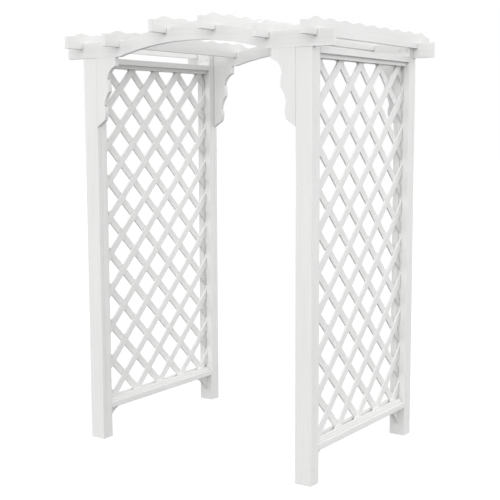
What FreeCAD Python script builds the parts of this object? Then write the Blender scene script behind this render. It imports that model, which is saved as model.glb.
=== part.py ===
import FreeCAD, Part
import math
import os
import re

import Sketcher

# A free-standing garden arbor of painted timber. Four posts carry an arched header
# at the front and at the back, wavy rafters lie across the headers, and a diagonal
# lattice panel closes each side.
# Millimetres. X runs along the headers, Y from front to back, Z up. The origin is the
# centre of the footprint on the ground.

SIZES = [
    ("opening_width", 1219.2, "clear way between the left and right posts"),
    ("arbor_depth", 1035.0, "front face of the front posts to back face of the back posts"),
    ("post_width", 88.9, "post section along the header"),
    ("post_depth", 69.85, "post section from front to back"),
    ("post_edge_radius", 3.0, "rounding of the long edges of the post boards"),
    ("header_bottom", 2025.65, "ground to the underside of the header shoulders"),
    ("header_overhang", 107.95, "header board beyond the posts, at each end"),
    ("header_thickness", 25.4, "header, brackets and outer post boards, front to back"),
    ("header_band", 76.2, "depth of the header on its flat shoulders"),
    ("crown_band", 69.85, "depth of the header over the arch"),
    ("arch_half_span", 452.0, "middle of the header to the foot of the arch"),
    ("arch_rise", 62.0, "rise of the arch above the shoulders"),
    ("bracket_reach", 133.35, "bracket along the header"),
    ("bracket_drop", 354.0, "bracket down the post"),
    ("bracket_nose", 45.0, "straight edge under the bracket's inner top corner"),
    ("cove_drop", 63.0, "height of the deep hollow below the nose"),
    ("cove_step", 57.5, "set-in of the foot of the deep hollow"),
    ("cove_roundness", 0.9, "radius of the deep hollow over its chord"),
    ("lobe_drop", 67.0, "height of the upper swelling"),
    ("lobe_lean", 7.0, "how far the foot of the upper swelling stands out"),
    ("lobe_roundness", 2.6, "radius of the upper swelling over its chord"),
    ("dip_drop", 70.0, "height of the shallow hollow"),
    ("dip_step", 30.5, "set-in of the foot of the shallow hollow"),
    ("dip_roundness", 1.6, "radius of the shallow hollow over its chord"),
    ("flank_drop", 76.0, "height of the swollen side of the toe"),
    ("flank_step", 2.3, "set-in of the foot of the toe's side"),
    ("flank_roundness", 1.2, "radius of the toe's side over its chord"),
    ("rafter_overhang", 107.5, "rafter beyond the posts, in front and behind"),
    ("rafter_thickness", 25.4, "rafter board"),
    ("rafter_height", 81.0, "rafter from its underside to a crest"),
    ("rafter_end_height", 61.0, "plain ends of the rafter"),
    ("rafter_end_plain", 12.0, "level top at each end of the rafter"),
    ("rafter_end_rise", 60.0, "shortest rise from the level end to the first crest"),
    ("wave_pitch", 131.4, "crest to crest along the rafter"),
    ("wave_depth", 9.0, "crest to hollow"),
    ("inner_rafter_offset", 149.2, "middle of the arbor to the inner rafters"),
    ("middle_rafter_offset", 456.0, "middle of the arbor to the middle rafters"),
    ("notch_depth", 28.6, "depth of the rafter notches in the header shoulders"),
    ("inner_rafter_lift", 53.0, "height of the inner rafters above the others"),
    ("rafter_lap", 8.0, "depth of the notches in a rafter's underside, over the headers"),
    ("notch_clearance", 0.3, "gap on each side of a board in its notch"),
    ("rail_height", 31.75, "side rails, up and down"),
    ("rail_edge_radius", 3.0, "rounding of the long rail edges"),
    ("top_rail_drop", 25.4, "header underside down to the underside of the top rail"),
    ("bottom_rail_level", 155.6, "ground to the underside of the bottom rail"),
    ("tenon_length", 19.05, "stub tenon on each rail end"),
    ("tenon_width", 50.8, "stub tenon across the post"),
    ("tenon_height", 19.05, "stub tenon up and down"),
    ("joint_clearance", 0.3, "gap round a tenon, a tongue and the lattice edge in the wood"),
    ("strip_size", 19.05, "square section of the strips that hold the lattice"),
    ("slat_width", 38.1, "lattice slat"),
    ("slat_thickness", 9.525, "lattice slat"),
    ("slat_gap", 100.6, "clear gap between neighbouring slats of one layer"),
    ("groove_depth", 10.0, "groove in the post that takes the lattice edge"),
    ("gusset_reach", 101.6, "gusset along the bottom rail"),
    ("gusset_drop", 88.9, "gusset down the post"),
    ("gusset_land", 12.0, "square ends of the gusset"),
    ("gusset_thickness", 19.05, "gusset board"),
    ("gusset_roundness", 1.05, "radius of the gusset's hollow edge over its chord"),
    ("lag_radius", 4.0, "shank of the lag screws at the post tops"),
    ("lag_head_radius", 7.5, "hexagon head, over the corners"),
    ("lag_head_height", 5.5, "hexagon head"),
    ("lag_spacing", 44.0, "between the two lag screws of one post"),
    ("lag_bite", 19.0, "lag screw inside the header"),
    ("screw_radius", 2.5, "shank of the bracket screws"),
    ("screw_head_radius", 4.5, "round head of the bracket screws"),
    ("screw_head_height", 3.0, "round head of the bracket screws"),
    ("screw_sink", 14.0, "seat of a bracket screw below the hollow that it goes in by"),
    ("screw_bite", 38.0, "bracket screw inside the post"),
    ("hole_clearance", 0.2, "gap round a shank or a head in its hole"),
    ("hole_tip", 1.0, "hole beyond the point of a screw"),
    ("tongue_length", 64.0, "loose tongue along the joint of a bracket"),
    ("tongue_width", 25.4, "loose tongue across the joint, half in each piece"),
    ("tongue_thickness", 9.525, "loose tongue"),
    ("cut_overrun", 10.0, "how far a cutting shape runs past the wood"),
]

SIDES = {"left": -1, "right": 1}
ENDS = {"front": -1, "back": 1}
AXES = {
    "X": FreeCAD.Vector(1, 0, 0),
    "Y": FreeCAD.Vector(0, 1, 0),
    "Z": FreeCAD.Vector(0, 0, 1),
}

# Places that follow from the sizes above.
POST_X = "(opening_width / 2 + post_width / 2)"
POST_TOP = "(header_bottom + header_band)"
HEADER_END = "(opening_width / 2 + post_width + header_overhang)"
HEADER_Y = "(arbor_depth / 2 - header_thickness / 2)"
PANEL_LENGTH = "(arbor_depth - 2 * post_depth)"
TOP_RAIL_LEVEL = "(header_bottom - top_rail_drop)"
LATTICE_LOW = "(bottom_rail_level + rail_height)"
LATTICE_HEIGHT = f"({TOP_RAIL_LEVEL} - {LATTICE_LOW})"
RAFTER_END = "(arbor_depth / 2 + rafter_overhang)"
RAFTER_LEVEL = "(header_bottom + header_band - notch_depth)"
COVE_X, COVE_Y = "(bracket_reach - cove_step)", "(-bracket_nose - cove_drop)"
LOBE_X, LOBE_Y = f"({COVE_X} + lobe_lean)", f"({COVE_Y} - lobe_drop)"
DIP_X, DIP_Y = f"({LOBE_X} - dip_step)", f"({LOBE_Y} - dip_drop)"
ARCH_RADIUS = "((arch_half_span ^ 2 + arch_rise ^ 2) / (2 * arch_rise))"

RAFTERS = {
    "rafter_1_outer_left": ("-(opening_width / 2 + post_width + rafter_thickness / 2)", RAFTER_LEVEL),
    "rafter_2_middle_left": ("-middle_rafter_offset", RAFTER_LEVEL),
    "rafter_3_inner_left": ("-inner_rafter_offset", f"({RAFTER_LEVEL} + inner_rafter_lift)"),
    "rafter_4_inner_right": ("inner_rafter_offset", f"({RAFTER_LEVEL} + inner_rafter_lift)"),
    "rafter_5_middle_right": ("middle_rafter_offset", RAFTER_LEVEL),
    "rafter_6_outer_right": ("(opening_width / 2 + post_width + rafter_thickness / 2)", RAFTER_LEVEL),
}

doc = FreeCAD.newDocument("GardenArbor")
dims = doc.addObject("Spreadsheet::Sheet", "Dims")
for row, (word, size, meaning) in enumerate(SIZES, start=1):
    dims.set(f"A{row}", meaning)
    dims.set(f"B{row}", str(size))
    dims.setAlias(f"B{row}", word)
doc.recompute()

nodes = []


def on_sheet(formula):
    """The formula with every size read from the sheet; each size is a name of two or more words."""
    return re.sub(r"[a-z]+(_[a-z]+)+", r"Dims.\g<0>", formula)


def value(formula):
    """What the formula comes to now, in millimetres."""
    return float(dims.evalExpression(on_sheet(formula)))


def tie(thing, **sizes):
    """Bind properties of a document object to formulas of the sheet."""
    for name, formula in sizes.items():
        thing.setExpression(name, on_sheet(formula))


def place(thing, x, y, z, rotation=None):
    """Set a piece down with its own origin at x, y, z."""
    thing.Placement = FreeCAD.Placement(FreeCAD.Vector(), rotation or FreeCAD.Rotation())
    for axis, formula in (("x", x), ("y", y), ("z", z)):
        thing.setExpression(f"Placement.Base.{axis}", on_sheet(formula))


def node(thing, label):
    """Name a finished piece and keep it for the parts folder."""
    thing.Label = label
    nodes.append(thing)
    return thing


def block(name, middle, size):
    """A square-edged bar: middle of its bottom face, and its size along X, Y and Z."""
    bar = doc.addObject("Part::Box", name)
    tie(bar, Length=size[0], Width=size[1], Height=size[2])
    place(bar, f"{middle[0]} - {size[0]} / 2", f"{middle[1]} - {size[1]} / 2", middle[2])
    return bar


def rod(name, start, way, radius, length):
    """A round bar from a start point along X, Y or Z, with a sign."""
    bar = doc.addObject("Part::Cylinder", name)
    tie(bar, Radius=radius, Height=length)
    place(bar, *start, rotation_to(way))
    return bar


def rotation_to(way):
    """The turn that points a round bar along a signed axis such as -Y."""
    direction = AXES[way[1]] * (1 if way[0] == "+" else -1)
    return FreeCAD.Rotation(AXES["Z"], direction)


def opposite(way):
    return ("-" if way[0] == "+" else "+") + way[1]


def fuse(name, shapes):
    joined = doc.addObject("Part::MultiFuse", name)
    joined.Shapes = shapes
    return joined


def carve(name, wood, tools):
    """Cut the tools out of a piece of wood."""
    cut = doc.addObject("Part::Cut", name)
    cut.Base = wood
    cut.Tool = fuse(f"{name}_tools", tools)
    return cut


def draw(body, plane, start, steps):
    """Sketch a closed outline on one of the body's own planes.

    A step is (x, y) for a straight edge, or (x, y, radius, side) for an arc that swells
    to the left or right of the way it is drawn. All of them are formulas.
    """
    sketch = body.newObject("Sketcher::SketchObject", f"{body.Name}_outline")
    origin_plane = next(f for f in body.Origin.OriginFeatures if f.Role == plane)
    sketch.AttachmentSupport = [(origin_plane, "")]
    sketch.MapMode = "FlatFace"
    here = FreeCAD.Vector(value(start[0]), value(start[1]), 0)
    ends = []
    for step in steps:
        there = FreeCAD.Vector(value(step[0]), value(step[1]), 0)
        if len(step) == 2:
            edge = sketch.addGeometry(Part.LineSegment(here, there), False)
            first, last = 1, 2
        else:
            radius = value(step[2])
            chord = there - here
            left = FreeCAD.Vector(-chord.y, chord.x, 0).normalize()
            swell = radius - math.sqrt(radius ** 2 - (chord.Length / 2) ** 2)
            swell = swell if step[3] == "left" else -swell
            crown = (here + there) / 2 + left * swell
            edge = sketch.addGeometry(Part.Arc(here, crown, there), False)
            forward = (sketch.getPoint(edge, 1) - here).Length < (sketch.getPoint(edge, 2) - here).Length
            first, last = (1, 2) if forward else (2, 1)
            bound = sketch.addConstraint(Sketcher.Constraint("Radius", edge, radius))
            sketch.setExpression(f"Constraints[{bound}]", on_sheet(step[2]))
        for direction, formula in (("DistanceX", step[0]), ("DistanceY", step[1])):
            bound = sketch.addConstraint(Sketcher.Constraint(direction, -1, 1, edge, last, value(formula)))
            sketch.setExpression(f"Constraints[{bound}]", on_sheet(formula))
        ends.append((edge, first, last))
        here = there
    for (edge, _, last), (after, first, _) in zip(ends, ends[1:] + ends[:1]):
        sketch.addConstraint(Sketcher.Constraint("Coincident", edge, last, after, first))
    return sketch


def rectangle(width, height):
    """Start and steps of a rectangle about the origin."""
    right, left = f"{width} / 2", f"-{width} / 2"
    high, low = f"{height} / 2", f"-{height} / 2"
    return (left, low), [(right, low), (right, high), (left, high), (left, low)]


def board(name, plane, start, steps, thickness):
    """A body padded evenly to both sides of its outline."""
    body = doc.addObject("PartDesign::Body", name)
    pad(body, draw(body, plane, start, steps), thickness)
    return body


def pad(body, sketch, thickness):
    grown = body.newObject("PartDesign::Pad", f"{sketch.Name}_pad")
    grown.Profile = sketch
    grown.Midplane = True
    tie(grown, Length=thickness)
    return grown


def ease(body, axis, radius):
    """Round the body's straight edges that run along an axis."""
    doc.recompute()
    tip = body.Tip
    names = []
    for number, edge in enumerate(tip.Shape.Edges, start=1):
        if abs(edge.tangentAt(edge.FirstParameter).dot(AXES[axis])) > 0.999:
            names.append(f"Edge{number}")
    rounding = body.newObject("PartDesign::Fillet", f"{body.Name}_eased")
    rounding.Base = (tip, names)
    tie(rounding, Radius=radius)


def slot_for(name, middle, size):
    """The slot that takes a bar of the given middle and size, with a gap all round."""
    wider = [f"({length} + 2 * joint_clearance)" for length in size]
    return block(name, (middle[0], middle[1], f"{middle[2]} - joint_clearance"), wider)


# Lag screws: two through the tongue of each post top, from the inside, into the header.
lag_screws = []
lag_holes = {}
LAG_LENGTH = "(post_depth - header_thickness + lag_bite)"
for end, to_back in ENDS.items():
    for side, to_right in SIDES.items():
        for number, step in enumerate((-1, 1), start=1):
            name = f"lag_{end}_{side}_{number}"
            way = "+Y" if to_back > 0 else "-Y"
            seat = (
                f"{to_right} * {POST_X} + {step} * lag_spacing / 2",
                f"{to_back} * (arbor_depth / 2 - post_depth)",
                "header_bottom + header_band / 2",
            )
            shank = rod(f"{name}_shank", seat, way, "lag_radius", LAG_LENGTH)
            head = doc.addObject("Part::Prism", f"{name}_head")
            head.Polygon = 6
            tie(head, Circumradius="lag_head_radius", Height="lag_head_height")
            place(head, *seat, rotation_to(opposite(way)))
            lag_screws.append(fuse(name, [shank, head]))
            bore_radius = "(lag_radius + hole_clearance)"
            hole = rod(f"{name}_hole", seat, way, bore_radius, f"({LAG_LENGTH} + hole_tip)")
            lag_holes.setdefault((end, side), []).append(hole)

# Loose tongues: one lies across each joint of a bracket, with the post and with the header.
tongues = []
tongue_slots = {}
for end, to_back in ENDS.items():
    for side, to_right in SIDES.items():
        y = f"{to_back} * {HEADER_Y}"
        upright_z = "header_bottom - bracket_drop / 2 - tongue_length / 2"
        level_x = f"{to_right} * (opening_width / 2 - bracket_reach / 2)"
        joints = {
            "post": (
                (f"{to_right} * opening_width / 2", y, upright_z),
                ("tongue_width", "tongue_thickness", "tongue_length"),
            ),
            "header": (
                (level_x, y, "header_bottom - tongue_width / 2"),
                ("tongue_length", "tongue_thickness", "tongue_width"),
            ),
        }
        for joint, (middle, size) in joints.items():
            name = f"tongue_{end}_{side}_{joint}"
            tongues.append(block(name, middle, size))
            tongue_slots[end, side, joint] = slot_for(f"{name}_slot", middle, size)

# Bracket screws: two level ones go through each bracket into the edge of the post, with their
# heads sunk at the foot of the two hollows.
bracket_screws = []
screw_holes = {}
for end, to_back in ENDS.items():
    for side, to_right in SIDES.items():
        way = "+X" if to_right > 0 else "-X"
        for hollow, reach, level in (("deep", COVE_X, COVE_Y), ("shallow", DIP_X, DIP_Y)):
            name = f"screw_{end}_{side}_{hollow}"
            seat = (
                f"{to_right} * (opening_width / 2 - {reach} + screw_sink)",
                f"{to_back} * {HEADER_Y}",
                f"header_bottom + {level}",
            )
            length = f"({reach} - screw_sink + screw_bite)"
            shank = rod(f"{name}_shank", seat, way, "screw_radius", length)
            head = rod(f"{name}_head", seat, opposite(way), "screw_head_radius", "screw_head_height")
            bracket_screws.append(fuse(name, [shank, head]))
            screw_holes.setdefault((end, side), []).extend((
                rod(f"{name}_hole", seat, way, "(screw_radius + hole_clearance)", f"({length} + hole_tip)"),
                rod(
                    f"{name}_sink", seat, opposite(way),
                    "(screw_head_radius + hole_clearance)", "(screw_sink + cut_overrun)",
                ),
            ))

# Posts: two boards each. The inner one runs up behind the header and has, in its face towards
# the other post of the side, a groove for the lattice and two mortises for the rails.
INNER_DEPTH = "(post_depth - header_thickness)"
for end, to_back in ENDS.items():
    for side, to_right in SIDES.items():
        name = f"post_{end}_{side}"
        x, y = f"{to_right} * {POST_X}", f"{to_back} * ({PANEL_LENGTH} + {INNER_DEPTH}) / 2"
        blank = board(f"{name}_blank", "XY_Plane", *rectangle("post_width", INNER_DEPTH), POST_TOP)
        ease(blank, "Z", "post_edge_radius")
        place(blank, x, y, f"{POST_TOP} / 2")
        inner_face = f"{to_back} * {PANEL_LENGTH} / 2"
        groove = block(
            f"{name}_groove",
            (x, inner_face, LATTICE_LOW),
            ("(2 * slat_thickness + 2 * joint_clearance)", "(2 * groove_depth)", LATTICE_HEIGHT),
        )
        mortises = []
        for rail, level in (("top", TOP_RAIL_LEVEL), ("bottom", "bottom_rail_level")):
            mortises.append(slot_for(
                f"{name}_{rail}_mortise",
                (x, inner_face, f"{level} + rail_height / 2 - tenon_height / 2"),
                ("tenon_width", "(2 * tenon_length)", "tenon_height"),
            ))
        node(carve(f"{name}_cut", blank, [groove] + mortises + lag_holes[end, side]), name)

# Outer post boards: glued to the inner ones, as thick as the header, which stands on them.
for end, to_back in ENDS.items():
    for side, to_right in SIDES.items():
        name = f"post_face_{end}_{side}"
        section = rectangle("post_width", "header_thickness")
        blank = board(f"{name}_blank", "XY_Plane", *section, "header_bottom")
        ease(blank, "Z", "post_edge_radius")
        place(blank, f"{to_right} * {POST_X}", f"{to_back} * {HEADER_Y}", "header_bottom / 2")
        holes = [tongue_slots[end, side, "post"]] + screw_holes[end, side]
        node(carve(f"{name}_cut", blank, holes), name)

# Headers: flat shoulders and an arched middle of even depth, notched for the rafters.
TOP_RADIUS = f"({ARCH_RADIUS} + crown_band)"
TOP_RISE = "(arch_rise + crown_band - header_band)"
TOP_HALF_SPAN = f"sqrt({TOP_RADIUS} ^ 2 - ({TOP_RADIUS} - {TOP_RISE}) ^ 2)"
HEADER_START = (f"-{HEADER_END}", "0")
HEADER_STEPS = [
    ("-arch_half_span", "0"),
    ("arch_half_span", "0", ARCH_RADIUS, "left"),
    (HEADER_END, "0"),
    (HEADER_END, "header_band"),
    (TOP_HALF_SPAN, "header_band"),
    (f"-{TOP_HALF_SPAN}", "header_band", TOP_RADIUS, "right"),
    (f"-{HEADER_END}", "header_band"),
    (f"-{HEADER_END}", "0"),
]
for end, to_back in ENDS.items():
    name = f"header_{end}"
    y = f"{to_back} * {HEADER_Y}"
    blank = board(f"{name}_blank", "XZ_Plane", HEADER_START, HEADER_STEPS, "header_thickness")
    place(blank, "0", y, "header_bottom")
    tools = []
    for rafter, (x, level) in RAFTERS.items():
        tools.append(block(
            f"{name}_{rafter}_notch",
            (x, y, f"{level} + rafter_lap"),
            (
                "(rafter_thickness + 2 * notch_clearance)",
                "(header_thickness + cut_overrun)",
                "(notch_depth + arch_rise + cut_overrun)",
            ),
        ))
    for side in SIDES:
        tools += lag_holes[end, side] + [tongue_slots[end, side, "header"]]
    node(carve(f"{name}_cut", blank, tools), name)

# Brackets: flush with the header and the post, with a scalloped free edge. Below a short nose come
# a deep hollow, a long swelling, a shallow hollow and a swollen toe, sawn off at a slant.
TOE_X, TOE_Y = f"({DIP_X} - flank_step)", f"({DIP_Y} - flank_drop)"
COVE_RADIUS = "(cove_roundness * sqrt(cove_step ^ 2 + cove_drop ^ 2))"
LOBE_RADIUS = "(lobe_roundness * sqrt(lobe_lean ^ 2 + lobe_drop ^ 2))"
DIP_RADIUS = "(dip_roundness * sqrt(dip_step ^ 2 + dip_drop ^ 2))"
FLANK_RADIUS = "(flank_roundness * sqrt(flank_step ^ 2 + flank_drop ^ 2))"
BRACKET_START = ("0", "0")
BRACKET_STEPS = [
    ("bracket_reach", "0"),
    ("bracket_reach", "-bracket_nose"),
    (COVE_X, COVE_Y, COVE_RADIUS, "right"),
    (LOBE_X, LOBE_Y, LOBE_RADIUS, "left"),
    (DIP_X, DIP_Y, DIP_RADIUS, "right"),
    (TOE_X, TOE_Y, FLANK_RADIUS, "left"),
    ("0", "-bracket_drop"),
    ("0", "0"),
]
for end, to_back in ENDS.items():
    for side, to_right in SIDES.items():
        name = f"bracket_{end}_{side}"
        blank = board(f"{name}_blank", "XZ_Plane", BRACKET_START, BRACKET_STEPS, "header_thickness")
        x, y = f"{to_right} * opening_width / 2", f"{to_back} * {HEADER_Y}"
        half_turn = FreeCAD.Rotation(AXES["Z"], 180 if to_right > 0 else 0)
        place(blank, x, y, "header_bottom", half_turn)
        slots = [tongue_slots[end, side, joint] for joint in ("post", "header")]
        node(carve(f"{name}_cut", blank, slots + screw_holes[end, side]), name)

# Rafters: the top edge is a row of equal crests and hollows, and falls in an ogee to each level end.
# The underside is notched over the headers, so that each crossing is a lap of both boards.
WAVE_MIDDLE = "(rafter_height - wave_depth / 2)"
WAVE_RADIUS = "((wave_pitch / 4) ^ 2 / wave_depth + wave_depth / 4)"
room = value(f"{RAFTER_END} - rafter_end_plain - rafter_end_rise")
crests_each_way = math.floor(room / value("wave_pitch"))
LAST_CREST = f"({crests_each_way} * wave_pitch)"
WAVE_END = f"({LAST_CREST} - wave_pitch / 4)"
LEVEL_FROM = f"({RAFTER_END} - rafter_end_plain)"
OGEE_MIDDLE = f"(({LAST_CREST} + {LEVEL_FROM}) / 2)"
OGEE_HEIGHT = "((rafter_height + rafter_end_height) / 2)"
OGEE_DROP = f"(rafter_height - {OGEE_HEIGHT})"
OGEE_RADIUS = f"((({OGEE_MIDDLE} - {LAST_CREST}) ^ 2 / {OGEE_DROP} + {OGEE_DROP}) / 2)"
rafter_start = (f"-{RAFTER_END}", "0")
rafter_steps = [
    (RAFTER_END, "0"),
    (RAFTER_END, "rafter_end_height"),
    (LEVEL_FROM, "rafter_end_height"),
    (OGEE_MIDDLE, OGEE_HEIGHT, OGEE_RADIUS, "left"),
    (LAST_CREST, "rafter_height", OGEE_RADIUS, "right"),
    (WAVE_END, WAVE_MIDDLE, WAVE_RADIUS, "right"),
]
half_waves = 4 * crests_each_way - 1
for half in range(half_waves):
    crest = half % 2 == 1
    landing = f"({WAVE_END} - {half + 1} * wave_pitch / 2)"
    rafter_steps.append((landing, WAVE_MIDDLE, WAVE_RADIUS, "right" if crest else "left"))
rafter_steps += [
    (f"-{LAST_CREST}", "rafter_height", WAVE_RADIUS, "right"),
    (f"-{OGEE_MIDDLE}", OGEE_HEIGHT, OGEE_RADIUS, "right"),
    (f"-{LEVEL_FROM}", "rafter_end_height", OGEE_RADIUS, "left"),
    (f"-{RAFTER_END}", "rafter_end_height"),
    rafter_start,
]
for rafter, (x, level) in RAFTERS.items():
    blank = board(f"{rafter}_blank", "YZ_Plane", rafter_start, rafter_steps, "rafter_thickness")
    place(blank, x, "0", level)
    laps = []
    for end, to_back in ENDS.items():
        laps.append(block(
            f"{rafter}_{end}_lap",
            (x, f"{to_back} * {HEADER_Y}", f"{level} - cut_overrun"),
            (
                "(rafter_thickness + cut_overrun)",
                "(header_thickness + 2 * notch_clearance)",
                "(cut_overrun + rafter_lap)",
            ),
        ))
    node(carve(f"{rafter}_cut", blank, laps), rafter)

# Side rails: as wide as the posts, with a stub tenon at each end.
for side, to_right in SIDES.items():
    for rail, level in (("top", TOP_RAIL_LEVEL), ("bottom", "bottom_rail_level")):
        name = f"{rail}_rail_{side}"
        body = board(f"{name}_body", "XZ_Plane", *rectangle("post_width", "rail_height"), PANEL_LENGTH)
        ease(body, "Y", "rail_edge_radius")
        tenons = draw(body, "XZ_Plane", *rectangle("tenon_width", "tenon_height"))
        pad(body, tenons, f"{PANEL_LENGTH} + 2 * tenon_length")
        place(body, f"{to_right} * {POST_X}", "0", f"{level} + rail_height / 2")
        node(body, name)

# Strips: one along each face of the lattice, on the bottom rail and under the top rail.
for side, to_right in SIDES.items():
    for face, outward in (("inner", -1), ("outer", 1)):
        x = f"{to_right} * ({POST_X} + {outward} * (slat_thickness + strip_size / 2))"
        for rail, level in (("top", f"({TOP_RAIL_LEVEL} - strip_size)"), ("bottom", LATTICE_LOW)):
            label = f"{rail}_strip_{face}_{side}"
            strip = block(f"{label}_bar", (x, "0", level), ("strip_size", PANEL_LENGTH, "strip_size"))
            node(strip, label)

# Lattice: two layers of slats that cross at right angles. In the layer nearer the right the slats
# rise towards the back, in the other they fall. Each slat is trimmed to the panel's outline.
LATTICE_LENGTH = f"({PANEL_LENGTH} + 2 * groove_depth - 2 * joint_clearance)"
SLAT_LENGTH = f"({LATTICE_LENGTH} + {LATTICE_HEIGHT})"
slat_pitch = value("slat_width + slat_gap")
reach = (value(LATTICE_LENGTH) + value(LATTICE_HEIGHT)) / 2 / math.sqrt(2)
slats_each_way = math.ceil((reach + value("slat_width / 2")) / slat_pitch - 0.5)
slat_places = [(number + 0.5) * slat_pitch for number in range(-slats_each_way, slats_each_way)]
for side, to_right in SIDES.items():
    for layer, lean, toward_right in (("rising", -45, 1), ("falling", 45, -1)):
        label = f"lattice_{layer}_{side}"
        layer_x = f"({to_right} * {POST_X} + {toward_right} * slat_thickness / 2)"
        turn = FreeCAD.Rotation(AXES["X"], lean)
        across = turn.multVec(AXES["Y"])
        panel_middle = FreeCAD.Vector(value(layer_x), 0, value(f"{LATTICE_LOW} + {LATTICE_HEIGHT} / 2"))
        slats = []
        for number, offset in enumerate(slat_places, start=1):
            slat = doc.addObject("Part::Box", f"{label}_slat_{number}")
            tie(slat, Length="slat_thickness", Width="slat_width", Height=SLAT_LENGTH)
            half_size = FreeCAD.Vector(
                value("slat_thickness / 2"),
                value("slat_width / 2"),
                value(f"{SLAT_LENGTH} / 2"),
            )
            corner = panel_middle + across * offset - turn.multVec(half_size)
            slat.Placement = FreeCAD.Placement(corner, turn)
            slats.append(slat)
        sheet_of_slats = doc.addObject("Part::Compound", f"{label}_slats")
        sheet_of_slats.Links = slats
        outline = block(
            f"{label}_outline",
            (layer_x, "0", LATTICE_LOW),
            ("slat_thickness", LATTICE_LENGTH, LATTICE_HEIGHT),
        )
        trimmed = doc.addObject("Part::Common", f"{label}_trimmed")
        trimmed.Base = sheet_of_slats
        trimmed.Tool = outline
        node(trimmed, label)

# Gussets: small coved boards in the corner of each post and the underside of the bottom rail.
GUSSET_CHORD = "sqrt((gusset_reach - gusset_land) ^ 2 + (gusset_drop - gusset_land) ^ 2)"
GUSSET_START = ("0", "0")
GUSSET_STEPS = [
    ("0", "-gusset_drop"),
    ("gusset_land", "-gusset_drop"),
    ("gusset_reach", "-gusset_land", f"(gusset_roundness * {GUSSET_CHORD})", "left"),
    ("gusset_reach", "0"),
    ("0", "0"),
]
for end, to_back in ENDS.items():
    for side, to_right in SIDES.items():
        label = f"gusset_{end}_{side}"
        body = board(f"{label}_body", "YZ_Plane", GUSSET_START, GUSSET_STEPS, "gusset_thickness")
        x, y = f"{to_right} * {POST_X}", f"{to_back} * {PANEL_LENGTH} / 2"
        half_turn = FreeCAD.Rotation(AXES["Z"], 180 if to_back > 0 else 0)
        place(body, x, y, "bottom_rail_level", half_turn)
        node(body, label)

# Fixings of one kind are one group of separate pieces.
for label, pieces in (
    ("header_lag_screws", lag_screws),
    ("bracket_screws", bracket_screws),
    ("bracket_tongues", tongues),
):
    group = doc.addObject("Part::Compound", f"{label}_group")
    group.Links = pieces
    node(group, label)

doc.recompute()
for thing in doc.Objects:
    if "Invalid" in thing.State or "Error" in thing.State:
        raise RuntimeError(f"{thing.Label} did not build: {thing.State}")
for piece in nodes:
    if piece.Shape.isNull() or not piece.Shape.isValid() or not piece.Shape.Solids:
        raise RuntimeError(f"{piece.Label} has no sound solid")

os.makedirs("parts", exist_ok=True)
for piece in nodes:
    piece.Shape.exportStep(f"parts/{piece.Label}.step")
    print(f"{piece.Label}: {len(piece.Shape.Solids)} solid(s), {piece.Shape.Volume / 1000:.1f} cm3")
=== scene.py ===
import math

import bmesh
import bpy
from mathutils import Matrix, Vector


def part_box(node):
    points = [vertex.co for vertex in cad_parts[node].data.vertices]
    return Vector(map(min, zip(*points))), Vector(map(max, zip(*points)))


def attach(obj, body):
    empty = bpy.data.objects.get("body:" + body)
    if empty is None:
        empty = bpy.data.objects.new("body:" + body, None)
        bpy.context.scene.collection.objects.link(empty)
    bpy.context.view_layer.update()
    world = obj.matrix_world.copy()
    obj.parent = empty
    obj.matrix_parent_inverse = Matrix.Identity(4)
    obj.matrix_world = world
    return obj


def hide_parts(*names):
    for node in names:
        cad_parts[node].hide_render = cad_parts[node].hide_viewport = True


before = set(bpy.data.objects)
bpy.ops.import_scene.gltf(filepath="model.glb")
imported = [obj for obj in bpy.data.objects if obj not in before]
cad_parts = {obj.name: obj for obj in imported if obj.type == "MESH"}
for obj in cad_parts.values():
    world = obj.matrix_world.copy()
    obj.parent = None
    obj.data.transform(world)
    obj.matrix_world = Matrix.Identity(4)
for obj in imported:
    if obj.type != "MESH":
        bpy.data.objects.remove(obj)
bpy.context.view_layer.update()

# Posts, inner boards: planed softwood uprights that run up behind the headers, grooved for the
# lattice and mortised for the rails. Their corners are sanded round, and brushed satin white
# covers the wood, with the grain still faintly raised under the paint.
CORNERS = ("front_left", "front_right", "back_left", "back_right")
POST_SANDING = 0.0025
SANDING_STEPS = 2
SANDED_EDGE = "sanded_edge"
SMALLEST_CORNER = math.radians(35)
FLAT_ENOUGH = math.radians(0.3)
WELD_REACH = 0.00002

GRAIN_UP = (0, -90, 0)
RING_SIZE = (0.5, 0.011, 0.011)
BRUSH_MARK_SIZE = (0.09, 0.0016, 0.0016)
FILM_SIZE = (0.006, 0.004, 0.004)
COAT_SIZE = (0.45, 0.12, 0.12)
USUAL_NOISE = (0.3, 0.7)
UPPER_NOISE = (0.45, 0.7)

THIN_COAT = (0.825, 0.825, 0.82, 1)
FULL_COAT = (0.855, 0.855, 0.85, 1)
RING_TINT = (0.78, 0.775, 0.76, 1)
RING_SHARE = 0.5
RUBBED_PAINT = (0.72, 0.70, 0.665, 1)
RUBBED_SHARE = 0.6
# Painted shade in joints and corners: the grey the colour is darkened towards, how far, how patchy,
# the reach of the occlusion test and the openness over which it fades.
PAINTED_SHADE_COLOUR = (0.34, 0.33, 0.31, 1)
PAINTED_SHADE_SHARE = 0.9
PAINTED_SHADE_PATCHES = (0.7, 1)
PAINTED_SHADE_REACH = 0.01
PAINTED_SHADE_OPENNESS = (0.15, 0.6)

SATIN_ROUGHNESS = (0.42, 0.56)
SATIN_SPECULAR = 0.4
BRUSH_MARK_RELIEF = 0.35
FILM_RELIEF = 0.15
RELIEF_DEPTH = 0.0004
RELIEF_STRENGTH = 0.5


def add_node(tree, kind, sockets=None, **settings):
    """A shader node with its settings, each named socket set to a constant or linked."""
    made = tree.nodes.new(kind)
    for name, setting in settings.items():
        setattr(made, name, setting)
    for name, source in (sockets or {}).items():
        if isinstance(source, bpy.types.NodeSocket):
            tree.links.new(source, made.inputs[name])
        else:
            made.inputs[name].default_value = source
    return made


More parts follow.
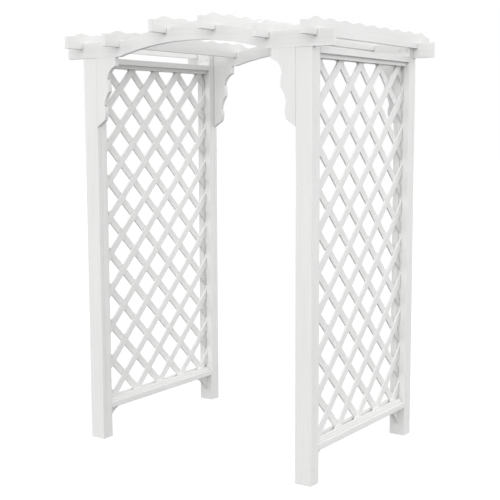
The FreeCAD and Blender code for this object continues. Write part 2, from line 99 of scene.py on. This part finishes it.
def new_finish(name):
    """A new material with its node tree and its surface shader."""
    material = bpy.data.materials.new(name)
    material.use_nodes = True
    tree = material.node_tree
    return material, tree, tree.nodes["Principled BSDF"]


def grain_noise(tree, turn, size, detail, roughness=0.5, distortion=0.0):
    """Noise whose marks have this size in metres, along the grain and twice across it.

    The turn, in degrees, brings the X axis of the noise onto the grain.
    """
    along_grain = add_node(tree, "ShaderNodeMapping", {
        "Vector": add_node(tree, "ShaderNodeTexCoord").outputs["Object"],
        "Rotation": [math.radians(angle) for angle in turn],
        "Scale": size,
    }, vector_type="TEXTURE")
    noise = add_node(tree, "ShaderNodeTexNoise", {
        "Vector": along_grain.outputs["Vector"],
        "Scale": 1.0,
        "Detail": detail,
        "Roughness": roughness,
        "Distortion": distortion,
    })
    return noise.outputs["Fac"]


def spread(tree, source, wanted, given=USUAL_NOISE):
    """A value brought from the range in which it is given into the wanted one."""
    ranged = add_node(tree, "ShaderNodeMapRange", {
        "Value": source,
        "From Min": given[0],
        "From Max": given[1],
        "To Min": wanted[0],
        "To Max": wanted[1],
    })
    return ranged.outputs["Result"]


def mixed_colour(tree, factor, first, second):
    """The first colour going over into the second."""
    mix = add_node(tree, "ShaderNodeMix", {0: factor, 6: first, 7: second}, data_type="RGBA")
    return mix.outputs[2]


def worked_out(tree, operation, first, second):
    """Two values put together by one operation of arithmetic."""
    return add_node(tree, "ShaderNodeMath", {0: first, 1: second}, operation=operation).outputs[0]


def rubbed_edges(tree):
    """One on the faces of a piece that came from sanding its edges, nought elsewhere."""
    return add_node(tree, "ShaderNodeAttribute", attribute_name=SANDED_EDGE).outputs["Fac"]


def white_paint(name, grain_turn):
    """Satin white on planed softwood: growth rings and brush marks show as low relief.

    The paint is rubbed thin on sanded edges, and painted shade darkens the joints and corners.
    """
    material, tree, shader = new_finish(name)
    rings = grain_noise(tree, grain_turn, RING_SIZE, detail=3.0, roughness=0.55, distortion=0.5)
    brush_marks = grain_noise(tree, grain_turn, BRUSH_MARK_SIZE, detail=2.0)
    film = grain_noise(tree, grain_turn, FILM_SIZE, detail=3.0)
    coat = grain_noise(tree, grain_turn, COAT_SIZE, detail=2.0)

    board = mixed_colour(tree, spread(tree, coat, (0, 1)), THIN_COAT, FULL_COAT)
    late_wood = spread(tree, rings, (0, RING_SHARE), UPPER_NOISE)
    grained = mixed_colour(tree, late_wood, board, RING_TINT)

    rubbed_patches = spread(tree, coat, (0, RUBBED_SHARE), UPPER_NOISE)
    rubbed_thin = worked_out(tree, "MULTIPLY", rubbed_edges(tree), rubbed_patches)
    worn = mixed_colour(tree, rubbed_thin, grained, RUBBED_PAINT)

    # Painted shade: where ambient occlusion finds neighbouring surfaces close by, the colour is
    # darkened in patches, as if shade fell there.
    openness = add_node(tree, "ShaderNodeAmbientOcclusion", {"Distance": PAINTED_SHADE_REACH}).outputs["AO"]
    painted_shade_amount = spread(tree, openness, (PAINTED_SHADE_SHARE, 0), PAINTED_SHADE_OPENNESS)
    painted_shade = worked_out(tree, "MULTIPLY", painted_shade_amount, spread(tree, coat, PAINTED_SHADE_PATCHES))
    colour = mixed_colour(tree, painted_shade, worn, PAINTED_SHADE_COLOUR)

    strokes = worked_out(tree, "MULTIPLY", brush_marks, BRUSH_MARK_RELIEF)
    raised_grain = worked_out(tree, "ADD", rings, strokes)
    skin = worked_out(tree, "MULTIPLY", film, FILM_RELIEF)
    relief = add_node(tree, "ShaderNodeBump", {
        "Height": worked_out(tree, "ADD", raised_grain, skin),
        "Strength": RELIEF_STRENGTH,
        "Distance": RELIEF_DEPTH,
    })

    tree.links.new(colour, shader.inputs["Base Color"])
    tree.links.new(spread(tree, film, SATIN_ROUGHNESS), shader.inputs["Roughness"])
    tree.links.new(relief.outputs["Normal"], shader.inputs["Normal"])
    shader.inputs["Specular IOR Level"].default_value = SATIN_SPECULAR
    return material


def sanded_piece(node, sanding, finish, joint_level=None):
    """The piece of a node with its sharp outer edges rounded, in its finish.

    Edges that lie at the joint level, tight against another board, stay square.
    """
    bm = bmesh.new()
    bm.from_mesh(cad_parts[node].data)
    rubbed = bm.faces.layers.float.new(SANDED_EDGE)
    bmesh.ops.remove_doubles(bm, verts=bm.verts, dist=WELD_REACH)
    bmesh.ops.dissolve_limit(bm, angle_limit=FLAT_ENOUGH, verts=bm.verts, edges=bm.edges)
    sharp = [edge for edge in bm.edges if edge.calc_face_angle_signed(0) > SMALLEST_CORNER]
    if joint_level is not None:
        sharp = [
            edge for edge in sharp
            if any(abs(vert.co.z - joint_level) > WELD_REACH for vert in edge.verts)
        ]
    rounded = bmesh.ops.bevel(
        bm, geom=sharp, offset=sanding, offset_type="OFFSET", segments=SANDING_STEPS,
        profile=0.5, affect="EDGES", material=-1,
    )
    for face in rounded["faces"]:
        face[rubbed] = 1.0
    for face in bm.faces:
        face.smooth = True
    for edge in bm.edges:
        edge.smooth = edge.calc_face_angle(0) < SMALLEST_CORNER

    name = f"{node}_painted"
    mesh = bpy.data.meshes.new(name)
    bm.to_mesh(mesh)
    bm.free()
    mesh.materials.append(finish)
    piece = bpy.data.objects.new(name, mesh)
    bpy.context.scene.collection.objects.link(piece)
    shading = piece.modifiers.new("flat_faces", "WEIGHTED_NORMAL")
    shading.keep_sharp = True
    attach(piece, "root")
    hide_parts(node)


paint_upright = white_paint("white_paint_upright", GRAIN_UP)
for corner in CORNERS:
    sanded_piece(f"post_{corner}", POST_SANDING, paint_upright)

# Posts, outer boards: as thick as the headers that stand on them, glued to the inner boards, so
# that the rounded corners of the two leave a fine groove down each side. Softwood, painted.
for corner in CORNERS:
    sanded_piece(f"post_face_{corner}", POST_SANDING, paint_upright)

# Side rails: one under the lattice and one over it, as wide as the posts, with stub tenons
# that go into mortises in the posts. Planed softwood with its edges sanded, painted.
SIDES = ("left", "right")
RAIL_SANDING = 0.001
GRAIN_BACK = (0, 0, 90)
paint_depthwise = white_paint("white_paint_depthwise", GRAIN_BACK)
for side in SIDES:
    for rail in ("top", "bottom"):
        sanded_piece(f"{rail}_rail_{side}", RAIL_SANDING, paint_depthwise)

# Lattice panels: two layers of thin softwood slats fixed across each other at right angles,
# trimmed square and let into the grooves of the posts. Their arrises are just taken off.
SLAT_SANDING = 0.0008
GRAIN_OF_LAYER = {"rising": (0, -45, 90), "falling": (0, 45, 90)}
for layer, layer_turn in GRAIN_OF_LAYER.items():
    paint_slats = white_paint(f"white_paint_{layer}", layer_turn)
    for side in SIDES:
        sanded_piece(f"lattice_{layer}_{side}", SLAT_SANDING, paint_slats)

# Lattice strips: square battens fixed along both faces of the lattice, on the bottom rail and
# under the top rail, so that the panel sits in a channel. Softwood, painted.
STRIP_SANDING = 0.0012
for side in SIDES:
    for lattice_face in ("inner", "outer"):
        for rail in ("top", "bottom"):
            sanded_piece(f"{rail}_strip_{lattice_face}_{side}", STRIP_SANDING, paint_depthwise)

# Gussets: small sawn softwood boards with a hollow edge, in the corner of each post and the
# underside of the bottom rail. They stiffen the frame and are painted with it.
GUSSET_SANDING = 0.0015
for corner in CORNERS:
    sanded_piece(f"gusset_{corner}", GUSSET_SANDING, paint_upright)

# Headers: an arched softwood board at the front and at the back, standing on the outer post
# boards and notched along the top for the rafters. Sawn to the arch, sanded and painted.
HEADER_SANDING = 0.001
GRAIN_ACROSS = (0, 0, 0)
paint_crosswise = white_paint("white_paint_crosswise", GRAIN_ACROSS)
for end in ("front", "back"):
    sanded_piece(f"header_{end}", HEADER_SANDING, paint_crosswise)

# Lag screws: two hexagon heads on the inside of each post top, whose shanks draw the header
# against the post. Steel, brushed over with the white paint of the woodwork once driven home.
LAG_ROUNDING = 0.0005
sanded_piece("header_lag_screws", LAG_ROUNDING, paint_upright)

# Brackets: scalloped softwood boards in the corners between posts and headers, sawn to a
# pattern of hollows and swellings. Their edges are rounded over, except where they sit tight
# against the header, and they are painted.
BRACKET_ROUNDING = 0.0025
header_low_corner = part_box("header_front")[0]
header_underside = header_low_corner[2]
for corner in CORNERS:
    sanded_piece(f"bracket_{corner}", BRACKET_ROUNDING, paint_upright, joint_level=header_underside)

# Bracket screws: two in each bracket, sunk in the hollows of its free edge and driven level
# into the edge of the post. Steel with a baked white coat, worn grey on the rims of the heads.
SCREW_ROUNDING = 0.0004
CHIPS_TO_THE_METRE = 420.0
BAKED_WHITE = (0.8, 0.8, 0.79, 1)
WORN_STEEL = (0.42, 0.41, 0.4, 1)
CHIPS_ON_RIMS = (0.45, 0.6)
CHIPS_ELSEWHERE = (0.68, 0.72)
BAKED_ROUGHNESS = (0.32, 0.46)


def coated_steel(name):
    """White-coated steel: a smooth coat with the odd chip, rubbed through on its edges."""
    material, tree, shader = new_finish(name)
    chips = add_node(tree, "ShaderNodeTexNoise", {
        "Vector": add_node(tree, "ShaderNodeTexCoord").outputs["Object"],
        "Scale": CHIPS_TO_THE_METRE,
        "Detail": 3.0,
    }).outputs["Fac"]
    rim_chips = spread(tree, chips, (0, 1), CHIPS_ON_RIMS)
    other_chips = spread(tree, chips, (0, 1), CHIPS_ELSEWHERE)
    worn_rims = worked_out(tree, "MULTIPLY", rubbed_edges(tree), rim_chips)
    bare = worked_out(tree, "MAXIMUM", worn_rims, other_chips)
    colour = mixed_colour(tree, bare, BAKED_WHITE, WORN_STEEL)
    tree.links.new(colour, shader.inputs["Base Color"])
    tree.links.new(bare, shader.inputs["Metallic"])
    tree.links.new(spread(tree, chips, BAKED_ROUGHNESS), shader.inputs["Roughness"])
    return material


white_coat = coated_steel("white_coated_steel")
sanded_piece("bracket_screws", SCREW_ROUNDING, white_coat)

# Bracket tongues: loose slips of bare, planed softwood in slots across the joints of the
# brackets, half in each board and out of sight. They line brackets, posts and headers up.
TONGUE_RING_SIZE = (0.2, 0.004, 0.004)
EARLY_WOOD = (0.62, 0.47, 0.3, 1)
LATE_WOOD = (0.45, 0.31, 0.18, 1)
PLANED_ROUGHNESS = (0.6, 0.75)


def bare_softwood(name):
    """Planed, unpainted softwood with growth rings along the board."""
    material, tree, shader = new_finish(name)
    rings = grain_noise(tree, GRAIN_UP, TONGUE_RING_SIZE, detail=4.0)
    colour = mixed_colour(tree, spread(tree, rings, (0, 1)), EARLY_WOOD, LATE_WOOD)
    tree.links.new(colour, shader.inputs["Base Color"])
    tree.links.new(spread(tree, rings, PLANED_ROUGHNESS), shader.inputs["Roughness"])
    return material


tongue_timber = bare_softwood("bare_softwood")
for material_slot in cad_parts["bracket_tongues"].material_slots:
    material_slot.material = tongue_timber

# Rafters: six softwood boards from front to back with a sawn, wavy top edge, lapped over both
# headers and painted. The two outer ones lie against the posts and the inner two stand higher,
# on the arch.
RAFTER_ROUNDING = 0.0015
for rafter in (
    "rafter_1_outer_left",
    "rafter_2_middle_left",
    "rafter_3_inner_left",
    "rafter_4_inner_right",
    "rafter_5_middle_right",
    "rafter_6_outer_right",
):
    sanded_piece(rafter, RAFTER_ROUNDING, paint_depthwise)

# Studio floor: a plain white sheet under the arbor's feet. To the eye its own glow and the light
# on it add up past white, so the arbor's soft shadow is lost in it. It throws only a little
# light back up, so that undersides stay darker.
FLOOR_HALF = 40.0
FLOOR_BOUNCE = (0.22, 0.22, 0.22, 1)
FLOOR_SHADE = (0.2, 0.2, 0.2, 1)
FLOOR_GLOW = 0.86
WHITE = (1, 1, 1, 1)


def seen_straight(tree):
    """One where the eye, a mirror or glass looks straight at the surface."""
    path = add_node(tree, "ShaderNodeLightPath").outputs
    seen = worked_out(tree, "MAXIMUM", path["Is Camera Ray"], path["Is Glossy Ray"])
    return worked_out(tree, "MAXIMUM", seen, path["Is Transmission Ray"])


floor_finish, floor_tree, default_shader = new_finish("studio_floor")
floor_tree.nodes.remove(default_shader)
bounce = add_node(floor_tree, "ShaderNodeBsdfDiffuse", {"Color": FLOOR_BOUNCE})
shadowed = add_node(floor_tree, "ShaderNodeBsdfDiffuse", {"Color": FLOOR_SHADE})
glow = add_node(floor_tree, "ShaderNodeEmission", {"Color": WHITE, "Strength": FLOOR_GLOW})
shown = add_node(floor_tree, "ShaderNodeAddShader", {
    0: shadowed.outputs["BSDF"],
    1: glow.outputs["Emission"],
})
floor_look = add_node(floor_tree, "ShaderNodeMixShader", {
    0: seen_straight(floor_tree),
    1: bounce.outputs["BSDF"],
    2: shown.outputs["Shader"],
})
floor_output = floor_tree.nodes["Material Output"]
floor_tree.links.new(floor_look.outputs["Shader"], floor_output.inputs["Surface"])

floor_bm = bmesh.new()
bmesh.ops.create_grid(floor_bm, x_segments=1, y_segments=1, size=FLOOR_HALF)
floor_mesh = bpy.data.meshes.new("studio_floor")
floor_bm.to_mesh(floor_mesh)
floor_bm.free()
floor_mesh.materials.append(floor_finish)
floor = bpy.data.objects.new("studio_floor", floor_mesh)
bpy.context.scene.collection.objects.link(floor)

# Surround: a white studio on all sides. The eye sees it as pure white, and it lights every side
# of the arbor evenly, with no shadows of its own that have an edge.
SURROUND_LIGHT = 0.825
BACKDROP_WHITE = 1.0
surround = bpy.data.worlds.new("studio_surround")
surround.use_nodes = True
surround_tree = surround.node_tree
soft_light = surround_tree.nodes["Background"]
soft_light.inputs["Color"].default_value = WHITE
soft_light.inputs["Strength"].default_value = SURROUND_LIGHT
backdrop = add_node(surround_tree, "ShaderNodeBackground", {
    "Color": WHITE,
    "Strength": BACKDROP_WHITE,
})
surround_look = add_node(surround_tree, "ShaderNodeMixShader", {
    0: seen_straight(surround_tree),
    1: soft_light.outputs["Background"],
    2: backdrop.outputs["Background"],
})
surround_output = surround_tree.nodes["World Output"]
surround_tree.links.new(surround_look.outputs["Shader"], surround_output.inputs["Surface"])
bpy.context.scene.world = surround

# Lamps: three wide, soft lamps set low round the arbor, the strongest near the front. Each has
# its turn to the right of the front and its height above level, both in degrees, and its
# strength.
LAMP_SPREAD = math.radians(56)
LAMP_DISTANCE = 6.0
for lamp_name, turn_from_front, above_level, strength in (
    ("left_lamp", -60, 25, 0.64),
    ("front_lamp", 25, 15, 1.38),
    ("back_lamp", 140, 25, 1.0),
):
    bearing = math.radians(turn_from_front)
    height = math.radians(above_level)
    level = Vector((math.sin(bearing), -math.cos(bearing), 0))
    toward_lamp = level * math.cos(height) + Vector((0, 0, math.sin(height)))
    lamp_data = bpy.data.lights.new(lamp_name, "SUN")
    lamp_data.angle = LAMP_SPREAD
    lamp_data.energy = strength
    lamp = bpy.data.objects.new(lamp_name, lamp_data)
    lamp.rotation_mode = "QUATERNION"
    lamp.rotation_quaternion = toward_lamp.to_track_quat("Z", "Y")
    lamp.location = LAMP_DISTANCE * toward_lamp
    bpy.context.scene.collection.objects.link(lamp)

# Camera: at about eye level and to the right of the front, where the photograph was taken from.
# Its place, aim and lens were matched to the edges of posts, headers, rails and rafters in it.
CAMERA_PLACE = (3.1078, -4.4452, 1.6756)
CAMERA_TURN = math.radians(35.011)
CAMERA_DIP = math.radians(6.931)
CAMERA_ROLL = math.radians(-0.191)
CAMERA_LENS = 73.496
CAMERA_SENSOR = 36.0
LEVEL_AIM = math.radians(90)
camera_data = bpy.data.cameras.new("camera")
camera_data.sensor_width = CAMERA_SENSOR
camera_data.lens = CAMERA_LENS
camera = bpy.data.objects.new("camera", camera_data)
camera.matrix_world = (
    Matrix.Translation(CAMERA_PLACE)
    @ Matrix.Rotation(CAMERA_TURN, 4, "Z")
    @ Matrix.Rotation(LEVEL_AIM - CAMERA_DIP, 4, "X")
    @ Matrix.Rotation(CAMERA_ROLL, 4, "Z")
)
bpy.context.scene.collection.objects.link(camera)
bpy.context.scene.camera = camera
bpy.context.scene.view_settings.view_transform = "Standard"
